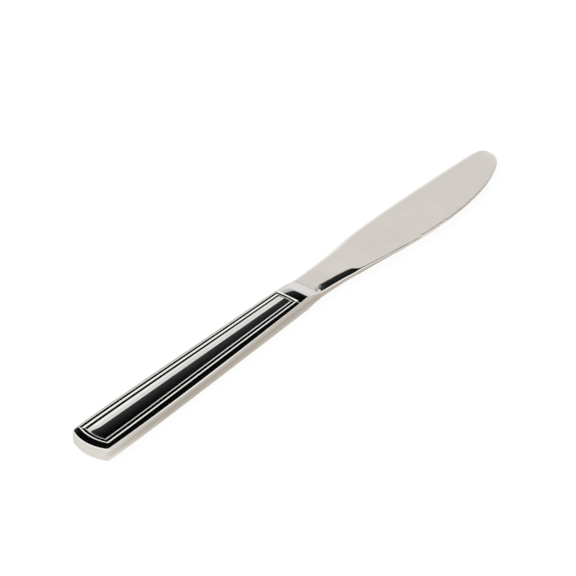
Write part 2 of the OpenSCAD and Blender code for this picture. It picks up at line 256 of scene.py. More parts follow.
# %% Outline and arc
ARC_DROP = 0.28
ARC_SHAPE = [(0.1, 0.05), (0.3, 0.25), (0.5, 0.47), (0.7, 0.68), (0.9, 0.9), (1, 1.05), (1, 1.8), (1, 4)]
path = (
    [(i, 0) for i in range(len(rows) - 1, 0, -1)]
    + [(0, j) for j in range(len(columns) - 1)]
    + [(i, len(columns) - 1) for i in range(len(rows))]
)


def outline_point(i, j):
    row, column = rows[i].copy(), columns[j].copy()
    if j in (0, len(columns) - 1):
        column[1] = 0
    if i == 0:
        row[0] = row[2] = 0
    return handle_points(row, column)


corner_line = np.array([outline_point(i, j) for i, j in path])
inner_line = np.array([top_grid[i, j] for i, j in path])
arc_rings = [lerp(inner_line, corner_line, out) - [0, 0, ARC_DROP * down] for out, down in ARC_SHAPE]
seam_line = corner_line.copy()
seam_line[:, 2] = HALF_T
print("points round the outline:", len(path))


# %% Closed solid of the upper half
def upper_half():
    nr, nc = len(rows), len(columns)
    points = [top_grid.reshape(-1, 3)] + arc_rings + [seam_line]
    faces = []
    for i in range(nr - 1):
        for j in range(nc - 1):
            a = i * nc + j
            b = a + nc
            falling = (i < nr / 2) == (j < nc // 2)
            faces += [(a, b, b + 1), (a, b + 1, a + 1)] if falling else [(a, b, a + 1), (b, b + 1, a + 1)]
    n = len(path)
    loops = [[i * nc + j for i, j in path]]
    for k in range(len(arc_rings) + 1):
        loops.append([nr * nc + k * n + m for m in range(n)])
    for upper, lower in zip(loops, loops[1:]):
        for m in range(n - 1):
            faces.append((upper[m + 1], upper[m], lower[m], lower[m + 1]))
    faces.append(tuple(loops[-1]))
    left = [loop[0] for loop in loops]
    right = [loop[-1] for loop in loops]
    last_row = [(nr - 1) * nc + j for j in range(1, nc - 1)]
    faces.append(tuple(left[::-1] + last_row + right))
    return np.concatenate(points), faces


half_points, half_faces = upper_half()
print("upper half:", len(half_points), "points")


# %% [markdown]
# ## From points to a piece
# Every piece ends as one closed mesh in metres, moved so that the origin is under the middle of the box.
# Faces sharper than a set angle keep a hard edge, and all the others shade smoothly.

# %% Mesh helpers
SHARP_ANGLE = math.radians(42)


def make_mesh(name, points, faces, attributes=()):
    mesh = bpy.data.meshes.new(name)
    moved = (np.asarray(points) - [TOTAL_LEN / 2, mid_y, 0]) * MM
    mesh.from_pydata(moved.tolist(), [], [tuple(int(i) for i in f) for f in faces])
    for title, kind, values in attributes:
        layer = mesh.attributes.new(title, kind, "POINT")
        field = "vector" if kind == "FLOAT_VECTOR" else "value"
        layer.data.foreach_set(field, np.asarray(values, dtype=np.float32).ravel())
    work = bmesh.new()
    work.from_mesh(mesh)
    bmesh.ops.recalc_face_normals(work, faces=work.faces)
    work.to_mesh(mesh)
    work.free()
    mesh.update()
    return mesh


def finish_piece(name, mesh, material, node):
    mesh.materials.clear()
    mesh.materials.append(material)
    mesh.polygons.foreach_set("use_smooth", [True] * len(mesh.polygons))
    mesh.set_sharp_from_angle(angle=SHARP_ANGLE)
    piece = bpy.data.objects.new(name, mesh)
    bpy.context.scene.collection.objects.link(piece)
    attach(piece, "root")
    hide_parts(node)
    print(name, "-", len(mesh.vertices), "points,", len(mesh.polygons), "faces")
    return piece


# %% [markdown]
# ## Outline of the blade
# The blade is drawn by ribs that run from its back to its edge. A smooth curve passes through
# the ribs' ends, so a few pairs of numbers hold the swell of the edge and the round tip.

# %% Ribs of the blade
RIBS = np.array(
    [
        [0, 0.2671, 0, 0.2797, 1, 1],
        [0.1, 0.2886, 0.1, 0.3181, 0.82, 0.865],
        [0.2, 0.3271, 0.2, 0.3824, 0.63, 0.62],
        [0.3, 0.3905, 0.3, 0.4546, 0.45, 0.4],
        [0.4, 0.4078, 0.4, 0.5343, 0.365, 0.32],
        [0.5, 0.4088, 0.5, 0.5891, 0.315, 0.25],
        [0.6, 0.3983, 0.6, 0.6016, 0.285, 0.21],
        [0.7, 0.381, 0.7, 0.5776, 0.265, 0.195],
        [0.8, 0.3646, 0.8, 0.5055, 0.245, 0.18],
        [0.88, 0.3434, 0.88, 0.3901, 0.225, 0.165],
        [0.945, 0.3194, 0.95, 0.2325, 0.205, 0.15],
        [0.981, 0.277, 0.988, 0.0615, 0.185, 0.135],
        [0.995, 0.1838, 1, -0.1057, 0.165, 0.12],
    ]
)
LAST_RIB = len(RIBS) - 1


def rib_at(t):
    i = int(min(math.floor(t), LAST_RIB - 1))
    q = t - i
    before = RIBS[i - 1] if i > 0 else 2 * RIBS[0] - RIBS[1]
    after = RIBS[i + 2] if i < LAST_RIB - 1 else 2 * RIBS[-1] - RIBS[-2]
    a, b, c, d = before, RIBS[i], RIBS[i + 1], after
    return (2 * b + (c - a) * q + (2 * a - 5 * b + 4 * c - d) * q**2 + (3 * b - 3 * c + d - a) * q**3) / 2


def rib_ends(t):
    back_x, back_y, edge_x, edge_y = rib_at(t)[:4]
    back = np.array([NECK_X + BLADE_LEN * back_x, BLADE_W * back_y])
    edge = np.array([NECK_X + BLADE_LEN * edge_x, -BLADE_W * edge_y])
    return back, edge


def back_t(t):
    return BACK_T * rib_at(t)[4]


def edge_t(t):
    return HEEL_T * rib_at(t)[5]


rib_numbers = np.linspace(0, LAST_RIB, 1201)
edge_line = np.array([rib_ends(t)[1] for t in rib_numbers])
edge_run = np.concatenate([[0], np.cumsum(np.hypot(*np.diff(edge_line, axis=0).T))])
back_side = max(rib_ends(t)[0][1] for t in rib_numbers)
mid_y = (max(corner_line[:, 1].max(), back_side) + edge_line[:, 1].min()) / 2
print("edge, mm:", round(edge_run[-1], 2), " middle across, mm:", round(mid_y, 3))

# %% [markdown]
# ## Section of the blade
# The blade shows one even grey, so its face is drawn nearly flat. Near the neck it is made to roll over
# towards the blunt edge, and that strip turns dark, because it mirrors the dark ceiling.
# The solids have a plain taper instead of this roll. Its tables were set by comparing pictures.
# The corners at the back and at the edge are rounded, as a polishing wheel leaves them.

# %% One ring of the blade
ARC_POINTS = 5
BACK_CORNER_R, EDGE_CORNER_R, CORNER_SHARE = 0.3, 0.5, 0.45
EDGE_CORNER_POWER, FACE_SPREAD = 1.4, 1.5
EDGE_INWARD, BOLSTER_INWARD = 0.7, 0.4
BAND_SHARE, NOTCH_ROOM_SHARE = 0.2, 0.1
FACE_POINTS = 18
BAND_POINTS = 8
ROLL_X = [0, 1.5, 4, 8, 17, 19.5, 21.5, 25, 32, 50, 55, 66, 74, 92, 119]
ROLL_W = [1.2, 2.6, 3.5, 3.2, 3.0, 2.8, 1.1, 0.9, 1.3, 1.3, 1.3, 1.3, 1.1, 0.9, 0.8]
ROLL_DROP = [0.1, 0.26, 0.34, 0.38, 0.38, 0.27, 0.05, 0.03, 0.013, 0.015, 0.003, 0.003, 0.018, 0.028, 0.02]
ROLL_POWER = [1.2, 1.2, 1.2, 1.2, 1.2, 1.2, 1.2, 1.6, 2.2, 2.2, 2.2, 2.2, 2.2, 2.2, 2.2]
STREAK_SHARE, STREAK_END, STREAK_RUN = 3, 1.35, 12


def corner_arc(r, inward=1.0, power=2.0):
    q = np.linspace(0, 1, ARC_POINTS + 1)[:-1]
    return r * inward * q**power, -r * (1 - q) ** power


def ring_section(width, back_half, edge_half, band, height, inward=EDGE_INWARD):
    """Distances from the back and half thicknesses from back to edge, with both corners rounded."""
    back_r = min(BACK_CORNER_R, CORNER_SHARE * back_half)
    edge_r = min(EDGE_CORNER_R, CORNER_SHARE * edge_half)
    spread = 1 - (1 - np.linspace(0, 1, FACE_POINTS + 1)) ** FACE_SPREAD
    face = lerp(back_r, width - band, spread[:-1])
    edge_part = np.linspace(width - band, width - edge_r * inward, BAND_POINTS + 1)
    in_d, in_h = corner_arc(back_r)
    out_d, out_h = corner_arc(edge_r, inward, EDGE_CORNER_POWER)
    d = np.concatenate([in_d, face, edge_part, (width - out_d)[::-1]])
    h = height(d)
    h[: len(in_d)] += in_h
    h[-len(out_d) :] += out_h[::-1]
    wall = np.zeros(len(d))
    wall[-ARC_POINTS:][::-1] = 1 - np.arange(ARC_POINTS) / ARC_POINTS
    wall[:ARC_POINTS] = -wall[-ARC_POINTS:][::-1]
    return d, h, wall


def both_sides(plan, half):
    top = np.column_stack([plan, HALF_T + half])
    under = np.column_stack([plan, HALF_T - half])[::-1]
    return np.concatenate([top, under])


def blade_ring(t):
    back, edge = rib_ends(t)
    width = np.hypot(*(edge - back))
    thick, thin = back_t(t) / 2, edge_t(t) / 2
    run_x = BLADE_LEN * rib_at(t)[0]
    tables = (ROLL_W, ROLL_DROP, ROLL_POWER)
    roll_w, roll_drop, roll_power = (np.interp(run_x, ROLL_X, table) for table in tables)
    band = min(EDGE_BAND, BAND_SHARE * width)

    def height(d):
        roll = np.clip(1 - (width - d) / roll_w, 0, 1) ** roll_power
        return lerp(thick, thin, d / width) - roll_drop * roll

    d, h, wall = ring_section(width, thick, thin, band, height)
    inward = (back - edge) / width
    plan = back - np.outer(d, inward)
    reach = np.clip(1 - (width - d) / band, 0, 1)
    into_roll = (width - d) / roll_w
    streak = np.clip(into_roll, 0, 1) ** 2 * np.clip(STREAK_SHARE * (STREAK_END - into_roll), 0, 1)
    streak *= np.clip(1 - run_x / STREAK_RUN, 0, 1)
    inward = inward * min(1, NOTCH_ROOM_SHARE * width / TOOTH_DEPTH)
    return both_sides(plan, h), reach, inward, wall, streak


# %% [markdown]
# ## Section of the bolster
# The bolster starts as a full shoulder at the handle and scoops down to the neck of the blade.
# Its crown across makes the dark patch on the shoulder end in an arc.

# %% One ring of the bolster
SHOULDER_FADE = 3.0
SHOULDER_FALL, SHOULDER_POWER = 0.14, 1.6


def bolster_ring(x):
    q = x / BOLSTER_LEN
    back0, edge0 = rib_ends(0)
    waist = WAIST_IN * math.sin(math.pi * q)
    back_y, edge_y = lerp(JOINT_W / 2, back0[1], q) - waist, lerp(JOINT_W / 2, -edge0[1], q) - waist
    width = back_y + edge_y
    scoop = smooth((x - SHOULDER_LEN) / (BOLSTER_LEN - SHOULDER_LEN))
    neck_back, neck_edge = NECK_T / 2, NECK_T / BACK_T * HEEL_T / 2

    def height(d):
        v = abs(2 * d / width - 1)
        f = np.minimum((1 - v) * JOINT_W / 2 / BEVEL_W[1], 1)
        rim = CROSS_FALL * bevel_share(f) * (1 - smooth(x / SHOULDER_FADE))
        fall = SHOULDER_FALL * max(1 - x / SHOULDER_LEN, 0) ** SHOULDER_POWER
        full = HALF_T - fall - np.maximum(rim, SHOULDER_CROWN * v * v)
        return lerp(full, lerp(neck_back, neck_edge, d / width), scoop)

    d, h, wall = ring_section(width, HALF_T, HALF_T, EDGE_BAND, height, BOLSTER_INWARD)
    plan = np.column_stack([np.full(len(d), HANDLE_LEN + x), back_y - d])
    return both_sides(plan, h), np.zeros(len(d)), np.zeros(2), wall, np.zeros(len(d))


def tang_ring(x):
    half = lerp(TANG_END_W, TANG_W, (x - HANDLE_LEN + TANG_LEN) / TANG_LEN) / 2
    half_t = TANG_T / 2
    d, h, wall = ring_section(2 * half, half_t, half_t, EDGE_BAND, lambda d: np.full(len(d), half_t))
    plan = np.column_stack([np.full(len(d), x), half - d])
    return both_sides(plan, h), np.zeros(len(d)), np.zeros(2), wall, np.zeros(len(d))


# %% Rings from the tang to the tip
BOLSTER_RINGS = 56
PLAIN_RINGS = 110
RINGS_PER_TOOTH = 8
FIRST_RING_RUN = 0.4
tooth_count = int((edge_run[-1] - TEETH_START) / TOOTH_PITCH) - 1
tooth_runs = np.arange(1, RINGS_PER_TOOTH * tooth_count + 1) * TOOTH_PITCH / RINGS_PER_TOOTH

rings, ring_run, ring_ground = [], [], []
for x in (HANDLE_LEN - TANG_LEN, HANDLE_LEN):
    rings.append(tang_ring(x))
for x in np.linspace(0, BOLSTER_LEN, BOLSTER_RINGS):
    rings.append(bolster_ring(x))
ring_run += [-1.0] * len(rings)
ring_ground += [0.0] * len(rings)
for t in np.interp(np.linspace(FIRST_RING_RUN, TEETH_START, PLAIN_RINGS), edge_run, rib_numbers):
    rings.append(blade_ring(t))
    ring_run.append(-1.0)
    ring_ground.append(1.0)
for run in tooth_runs:
    t = np.interp(TEETH_START + run, edge_run, rib_numbers)
    points, reach, *rest = blade_ring(t)
    fade = float(smooth((run - DEEP_RUN) / FADE_RUN))
    rings.append((points, reach * lerp(1, SHALLOW_SHARE, fade), *rest))
    ring_run.append(run)
    ring_ground.append(1.0)
rings.append(blade_ring(LAST_RIB))
ring_run.append(-1.0)
ring_ground.append(1.0)
print("rings:", len(rings), " teeth:", tooth_count)


# %% Blade without its notches
def blade_mesh():
    n = len(rings[0][0])
    points = np.concatenate([ring[0] for ring in rings])
    faces = []
    for i in range(len(rings) - 1):
        for k in range(n):
            a, b = i * n + k, i * n + (k + 1) % n
            faces.append((a, a + n, b + n, b))
    half = n // 2
    cap = [(k, k + 1, n - 2 - k, n - 1 - k) for k in range(half - 1)]
    faces += cap
    faces += [tuple((len(rings) - 1) * n + k for k in reversed(quad)) for quad in cap]
    reach, wall, streak = (
        np.concatenate([np.append(ring[k], ring[k][::-1]) for ring in rings]) for k in (1, 3, 4)
    )
    inward = np.concatenate([np.tile([ring[2][0], ring[2][1], 0], (n, 1)) for ring in rings])
    run = np.repeat(ring_run, n) * MM
    ground = np.repeat(ring_ground, n)
    layers = [
        ("reach", "FLOAT", reach),
        ("inward", "FLOAT_VECTOR", inward),
        ("run", "FLOAT", run),
        ("ground", "FLOAT", ground),
        ("wall", "FLOAT", wall),
        ("streak", "FLOAT", streak),
    ]
    return make_mesh("blade_blank", points, faces, layers)


blade_blank = blade_mesh()
print("blank:", len(blade_blank.vertices), "points")

# %% [markdown]
# ## Teeth, cut by Geometry Nodes
# A grinding wheel cuts the same small notch again and again along the edge.
# Instances of a notch would need a boolean cut for each. It is lighter to move the points of the edge band:
# each point knows its run along the edge, so the wave of notches is a formula of run and pitch.


# %% Helpers for node trees
def add_node(tree, kind, links=(), **values):
    node = tree.nodes.new(kind)
    for key, value in values.items():
        setattr(node, key, value)
    for socket, source in dict(links).items():
        target = node.inputs[socket]
        if isinstance(source, bpy.types.NodeSocket):
            tree.links.new(source, target)
        else:
            target.default_value = source
    return node


def math_node(tree, operation, a, b=0.0, c=0.0):
    return add_node(tree, "ShaderNodeMath", {0: a, 1: b, 2: c}, operation=operation).outputs[0]


def new_group(name, kind, inputs, outputs):
    tree = bpy.data.node_groups.new(name, kind)
    for title, socket_type, default in inputs:
        socket = tree.interface.new_socket(title, in_out="INPUT", socket_type=socket_type)
        if default is not None:
            socket.default_value = default
    for title, socket_type in outputs:
        tree.interface.new_socket(title, in_out="OUTPUT", socket_type=socket_type)
    return tree, tree.nodes.new("NodeGroupInput"), tree.nodes.new("NodeGroupOutput")


# %% Tree that cuts the notches
def notch_tree():
    tree, given, result = new_group(
        "Cut notches",
        "GeometryNodeTree",
        [
            ("Geometry", "NodeSocketGeometry", None),
            ("Pitch", "NodeSocketFloat", 0.001),
            ("Depth", "NodeSocketFloat", 0.0005),
            ("Crest share", "NodeSocketFloat", 0.2),
            ("Under share", "NodeSocketFloat", 0.5),
            ("Root drop", "NodeSocketFloat", 0.00001),
            ("Middle height", "NodeSocketFloat", 0.0),
            ("Material", "NodeSocketMaterial", None),
        ],
        [("Geometry", "NodeSocketGeometry")],
    )

    def stored(title, data_type, output):
        node = add_node(tree, "GeometryNodeInputNamedAttribute", {"Name": title}, data_type=data_type)
        return node.outputs[output]

    run, reach = stored("run", "FLOAT", "Attribute"), stored("reach", "FLOAT", "Attribute")
    inward = stored("inward", "FLOAT_VECTOR", "Attribute")
    phase = math_node(tree, "FRACT", math_node(tree, "DIVIDE", run, given.outputs["Pitch"]))
    away = math_node(tree, "ABSOLUTE", math_node(tree, "MULTIPLY_ADD", phase, 2.0, -1.0))
    slope = math_node(tree, "DIVIDE", away, math_node(tree, "SUBTRACT", 1.0, given.outputs["Crest share"]))
    hollow = math_node(tree, "SUBTRACT", 1.0, math_node(tree, "POWER", slope, 2.0))
    scallop = math_node(tree, "MAXIMUM", hollow, 0.0)
    notch = math_node(tree, "MULTIPLY", scallop, math_node(tree, "GREATER_THAN", run, 0.0))
    cut = math_node(tree, "MULTIPLY", notch, reach)
    depth = math_node(tree, "MULTIPLY", cut, given.outputs["Depth"])
    place = add_node(tree, "GeometryNodeInputPosition").outputs[0]
    height = add_node(tree, "ShaderNodeSeparateXYZ", {0: place}).outputs["Z"]
    above = math_node(tree, "GREATER_THAN", height, given.outputs["Middle height"])
    share = math_node(tree, "MAXIMUM", above, given.outputs["Under share"])
    depth = math_node(tree, "MULTIPLY", depth, share)
    plan = add_node(tree, "ShaderNodeVectorMath", {0: inward, "Scale": depth}, operation="SCALE").outputs[0]
    worn = math_node(tree, "MULTIPLY", notch, math_node(tree, "POWER", reach, 3.0))
    drop = math_node(tree, "MULTIPLY", math_node(tree, "MULTIPLY", worn, above), given.outputs["Root drop"])
    down = add_node(tree, "ShaderNodeCombineXYZ", {"Z": math_node(tree, "MULTIPLY", drop, -1.0)}).outputs[0]
    offset = add_node(tree, "ShaderNodeVectorMath", {0: plan, 1: down}, operation="ADD").outputs[0]
    blank = given.outputs["Geometry"]
    moved = add_node(tree, "GeometryNodeSetPosition", {"Geometry": blank, "Offset": offset})
    real = add_node(tree, "GeometryNodeRealizeInstances", {"Geometry": moved.outputs[0]})
    finish = {"Geometry": real.outputs[0], "Material": given.outputs["Material"]}
    dressed = add_node(tree, "GeometryNodeSetMaterial", finish)
    tree.links.new(dressed.outputs[0], result.inputs["Geometry"])
    return tree


def run_tree(tree, mesh, name, values):
    """Runs a Geometry Nodes tree on a mesh and returns the result as a plain mesh."""
    blank = bpy.data.objects.new(name + "_blank", mesh)
    bpy.context.scene.collection.objects.link(blank)
    modifier = blank.modifiers.new(name, "NODES")
    modifier.node_group = tree
    for item in tree.interface.items_tree:
        if item.in_out == "INPUT" and item.name in values:
            modifier[item.identifier] = values[item.name]
    evaluated = blank.evaluated_get(bpy.context.evaluated_depsgraph_get())
    made = bpy.data.meshes.new_from_object(evaluated)
    bpy.data.objects.remove(blank)
    return made


# %% [markdown]
# ## Finish of the steel
# Polished stainless steel is a mirror with small faults: hairlines from handling, faint smears,
# and softer strips where the polish is rubbed. The hairlines and smears are groups, so that
# the handle and the blade can share them with their own values.
# The colours also carry painted reflections on the side walls, the bolster, the edge and the back of the
# blade.


# %% Hairlines
def hairline_group():
    tree, given, result = new_group(
        "Hairlines",
        "ShaderNodeTree",
        [
            ("Vector", "NodeSocketVector", None),
            ("Length", "NodeSocketFloat", 0.01),
            ("Width", "NodeSocketFloat", 0.0001),
            ("Turn", "NodeSocketFloat", 0.0),
            ("Rarity", "NodeSocketFloat", 0.6),
        ],
        [("Mask", "NodeSocketFloat"), ("Grain", "NodeSocketFloat")],
    )
    turned = add_node(
        tree,
        "ShaderNodeVectorRotate",
        {"Vector": given.outputs["Vector"], "Angle": given.outputs["Turn"]},
        rotation_type="Z_AXIS",
    )
    parts = add_node(tree, "ShaderNodeSeparateXYZ", {0: turned.outputs[0]})
    along = math_node(tree, "DIVIDE", parts.outputs["X"], given.outputs["Length"])
    across = math_node(tree, "DIVIDE", parts.outputs["Y"], given.outputs["Width"])
    up = math_node(tree, "DIVIDE", parts.outputs["Z"], given.outputs["Width"])
    stretched = add_node(tree, "ShaderNodeCombineXYZ", {"X": along, "Y": across, "Z": up})
    noise_from = {"Vector": stretched.outputs[0], "Scale": 1.0, "Detail": 2.0}
    noise = add_node(tree, "ShaderNodeTexNoise", noise_from)
    raised = add_node(
        tree,
        "ShaderNodeMapRange",
        {"Value": noise.outputs[0], "From Min": given.outputs["Rarity"], "From Max": 0.85},
        clamp=True,
    )
    tree.links.new(raised.outputs[0], result.inputs["Mask"])
    tree.links.new(noise.outputs[0], result.inputs["Grain"])
    return tree


# %% Smears
def smear_group():
    tree, given, result = new_group(
        "Smears",
        "ShaderNodeTree",
        [
            ("Vector", "NodeSocketVector", None),
            ("Size", "NodeSocketFloat", 0.01),
            ("Seed", "NodeSocketFloat", 0.0),
        ],
        [("Mask", "NodeSocketFloat")],
    )
    scale = math_node(tree, "DIVIDE", 1.0, given.outputs["Size"])
    noise_from = {"Vector": given.outputs["Vector"], "W": given.outputs["Seed"], "Scale": scale}
    noise_from.update({"Detail": 3.0, "Distortion": 0.6})
    noise = add_node(tree, "ShaderNodeTexNoise", noise_from, noise_dimensions="4D")
    soft_from = {"Value": noise.outputs[0], "From Min": 0.35, "From Max": 0.7}
    soft = add_node(tree, "ShaderNodeMapRange", soft_from, clamp=True)
    tree.links.new(soft.outputs[0], result.inputs["Mask"])
    return tree


hairlines, smears = hairline_group(), smear_group()
print("finish groups:", hairlines.name, "and", smears.name)


# %% Steel of the handle
def new_material(name):
    material = bpy.data.materials.new(name)
    material.use_nodes = True
    tree = material.node_tree
    return material, tree, tree.nodes["Principled BSDF"]


def place_group(tree, group, links):
    node = tree.nodes.new("ShaderNodeGroup")
    node.node_tree = group
    for socket, source in links.items():
        if isinstance(source, bpy.types.NodeSocket):
            tree.links.new(source, node.inputs[socket])
        else:
            node.inputs[socket].default_value = source
    return node


def blend_colour(tree, factor, a, b):
    node = tree.nodes.new("ShaderNodeMix")
    node.data_type = "RGBA"
    tree.links.new(factor, node.inputs["Factor"])
    for socket, source in ((6, a), (7, b)):
        if isinstance(source, bpy.types.NodeSocket):
            tree.links.new(source, node.inputs[socket])
        else:
            node.inputs[socket].default_value = (*source, 1.0)
    return node.outputs[2]


HANDLE_COLOUR, HANDLE_SMEARED = (0.77, 0.76, 0.73), (0.72, 0.71, 0.68)
FINE_LINES = {"Length": 0.006, "Width": 0.00012, "Turn": 0.1, "Rarity": 0.66}
STRAY_LINES = {"Length": 0.004, "Width": 0.0001, "Turn": 1.2, "Rarity": 0.72}
HANDLE_SMEARS = {"Size": 0.012, "Seed": 1.0}
# Factors of the steel's colour on the side walls, by height in millimetres. They are a painted reflection,
# lighter near the bottom and the top and darker in the middle, so it stays under other light.
WALL_HEIGHTS = [0, 1.6, 2.1, 2.6, 3.1, 3.6, 4.1, 4.6, 5.1]
PAINTED_WALL_FACTORS = [1.25, 1.2, 1.13, 1.05, 0.97, 0.97, 1.03, 1.15, 1.3]
WALL_SHARPNESS = 6.0


def painted_wall_reflection(tree, place):
    """Grey factor of the painted reflection on the side walls, 1 off them."""
    height = add_node(tree, "ShaderNodeSeparateXYZ", {0: place}).outputs["Z"]
    ramp = add_node(tree, "ShaderNodeValToRGB", {"Fac": math_node(tree, "DIVIDE", height, HANDLE_T * MM)})
    points = ramp.color_ramp.elements
    while len(points) > 1:
        points.remove(points[-1])
    for i, (z, factor) in enumerate(zip(WALL_HEIGHTS, PAINTED_WALL_FACTORS)):
        point = points[0] if i == 0 else points.new(z / HANDLE_T)
        point.position = z / HANDLE_T
        point.color = (factor / 2, factor / 2, factor / 2, 1)
    normal = add_node(tree, "ShaderNodeNewGeometry").outputs["Normal"]
    across = add_node(tree, "ShaderNodeSeparateXYZ", {0: normal}).outputs["Y"]
    share = math_node(tree, "POWER", math_node(tree, "ABSOLUTE", across), WALL_SHARPNESS)
    factor = math_node(tree, "MULTIPLY_ADD", ramp.outputs[0], 2.0, -1.0)
    return math_node(tree, "MULTIPLY_ADD", factor, share, 1.0)


def handle_steel():
    material, tree, shader = new_material("polished_shell_steel")
    place = add_node(tree, "ShaderNodeTexCoord").outputs["Object"]
    lines = place_group(tree, hairlines, {"Vector": place, **FINE_LINES})
    stray = place_group(tree, hairlines, {"Vector": place, **STRAY_LINES})
    smear = place_group(tree, smears, {"Vector": place, **HANDLE_SMEARS})
    worn = math_node(tree, "MAXIMUM", lines.outputs["Mask"], stray.outputs["Mask"])
    rough = math_node(tree, "MULTIPLY_ADD", smear.outputs["Mask"], 0.025, 0.035)
    tree.links.new(math_node(tree, "MULTIPLY_ADD", worn, 0.03, rough), shader.inputs["Roughness"])
    colour = blend_colour(tree, smear.outputs["Mask"], HANDLE_COLOUR, HANDLE_SMEARED)
    # Painted reflection: the side walls lighter near the bottom and the top, darker in the middle.
    painted_wall_scaling = {0: colour, "Scale": painted_wall_reflection(tree, place)}
    with_painted_wall_reflection = add_node(tree, "ShaderNodeVectorMath", painted_wall_scaling, operation="SCALE")
    tree.links.new(with_painted_wall_reflection.outputs[0], shader.inputs["Base Color"])
    shader.inputs["Metallic"].default_value = 1.0
    grain = {"Height": lines.outputs["Grain"], "Distance": 0.0000004, "Strength": 1.0}
    bump = add_node(tree, "ShaderNodeBump", grain)
    tree.links.new(bump.outputs[0], shader.inputs["Normal"])
    return material


# %% Steel of the blade
BLADE_COLOUR, BLADE_CLOUDED = (0.73, 0.69, 0.645), (0.71, 0.67, 0.625)
# Painted reflections: the bolster and tang darker, the rounded edge of the blade lighter, its rounded back
# darker.
NECK_PAINTED_REFLECTION, EDGE_PAINTED_REFLECTION, BACK_PAINTED_REFLECTION = (0.55, 0.54, 0.525), (0.86, 0.83, 0.79), (0.56, 0.57, 0.58)
GRIND_LINES = {"Length": 0.005, "Width": 0.0003, "Turn": 0.0, "Rarity": 0.62}
SCUFF_LINES = {"Length": 0.0022, "Width": 0.00028, "Turn": -0.25, "Rarity": 0.6}
BLADE_CLOUDS = {"Size": 0.009, "Seed": 4.0}
SCUFF_HEIGHT = 26.0


def blade_steel():
    material, tree, shader = new_material("polished_blade_steel")
    place = add_node(tree, "ShaderNodeTexCoord").outputs["Object"]
    ground = add_node(tree, "ShaderNodeAttribute", attribute_name="ground").outputs["Fac"]
    wall = add_node(tree, "ShaderNodeAttribute", attribute_name="wall").outputs["Fac"]
    lines = place_group(tree, hairlines, {"Vector": place, **GRIND_LINES})
    cloud = place_group(tree, smears, {"Vector": place, **BLADE_CLOUDS})
    face = blend_colour(tree, cloud.outputs["Mask"], BLADE_COLOUR, BLADE_CLOUDED)
    # Painted reflections on the bolster and tang, on the rounded edge and on the rounded back.
    upper = blend_colour(tree, ground, NECK_PAINTED_REFLECTION, face)
    side = blend_colour(tree, ground, HANDLE_COLOUR, EDGE_PAINTED_REFLECTION)
    back = blend_colour(tree, ground, HANDLE_COLOUR, BACK_PAINTED_REFLECTION)
    upper = blend_colour(tree, math_node(tree, "MULTIPLY", wall, -1.0), upper, back)
    base = blend_colour(tree, wall, upper, side)
    # The side walls of the bolster and tang get the same painted reflection.
    painted_wall_scaling = {0: base, "Scale": painted_wall_reflection(tree, place)}
    with_painted_wall_reflection = add_node(tree, "ShaderNodeVectorMath", painted_wall_scaling, operation="SCALE")
    tree.links.new(blend_colour(tree, ground, with_painted_wall_reflection.outputs[0], base), shader.inputs["Base Color"])
    rough = math_node(tree, "MULTIPLY_ADD", ground, 0.015, 0.05)
    rough = math_node(tree, "MULTIPLY_ADD", cloud.outputs["Mask"], 0.02, rough)
    rough = math_node(tree, "MULTIPLY_ADD", lines.outputs["Mask"], 0.05, rough)
    tree.links.new(rough, shader.inputs["Roughness"])
    shader.inputs["Metallic"].default_value = 1.0
    streak = add_node(tree, "ShaderNodeAttribute", attribute_name="streak").outputs["Fac"]
    scuffs = place_group(tree, hairlines, {"Vector": place, **SCUFF_LINES})
    scuff_height = math_node(tree, "MULTIPLY", streak, SCUFF_HEIGHT)
    scuffed = math_node(tree, "MULTIPLY", scuffs.outputs["Grain"], scuff_height)
    strokes = math_node(tree, "MULTIPLY_ADD", lines.outputs["Grain"], ground, scuffed)
    bump = add_node(tree, "ShaderNodeBump", {"Height": strokes, "Distance": 0.000003, "Strength": 1.0})
    tree.links.new(bump.outputs[0], shader.inputs["Normal"])
    return material


# %% Cement in the handle
CEMENT_PALE, CEMENT_DARK = (0.74, 0.66, 0.52), (0.6, 0.52, 0.4)


def cement():
    material, tree, shader = new_material("handle_cement")
    place = add_node(tree, "ShaderNodeTexCoord").outputs["Object"]
    grit = add_node(tree, "ShaderNodeTexNoise", {"Vector": place, "Scale": 900.0, "Detail": 4.0})
    colour = blend_colour(tree, grit.outputs[0], CEMENT_PALE, CEMENT_DARK)
    tree.links.new(colour, shader.inputs["Base Color"])
    tree.links.new(math_node(tree, "MULTIPLY_ADD", grit.outputs[0], 0.2, 0.7), shader.inputs["Roughness"])
    bump = add_node(tree, "ShaderNodeBump", {"Height": grit.outputs[0], "Distance": 0.0001, "Strength": 1.0})
    tree.links.new(bump.outputs[0], shader.inputs["Normal"])
    return material


shell_finish, blade_finish, cement_finish = handle_steel(), blade_steel(), cement()
print("finishes:", shell_finish.name, blade_finish.name, cement_finish.name)

# %% [markdown]
# ## The half shells
# Each shell is the outer skin less the room for the filling and for the tang.
# A boolean cuts both out of the flat seam side, which leaves the polished side as it is.


# %% Tools for the hollow
def prism(name, outline, low, high):
    n = len(outline)
    points = [(x, y, low) for x, y in outline] + [(x, y, high) for x, y in outline]
    sides = [(k, (k + 1) % n, n + (k + 1) % n, n + k) for k in range(n)]
    faces = [tuple(range(n)), tuple(range(n, 2 * n))] + sides
    return bpy.data.objects.new(name, make_mesh(name, points, faces))


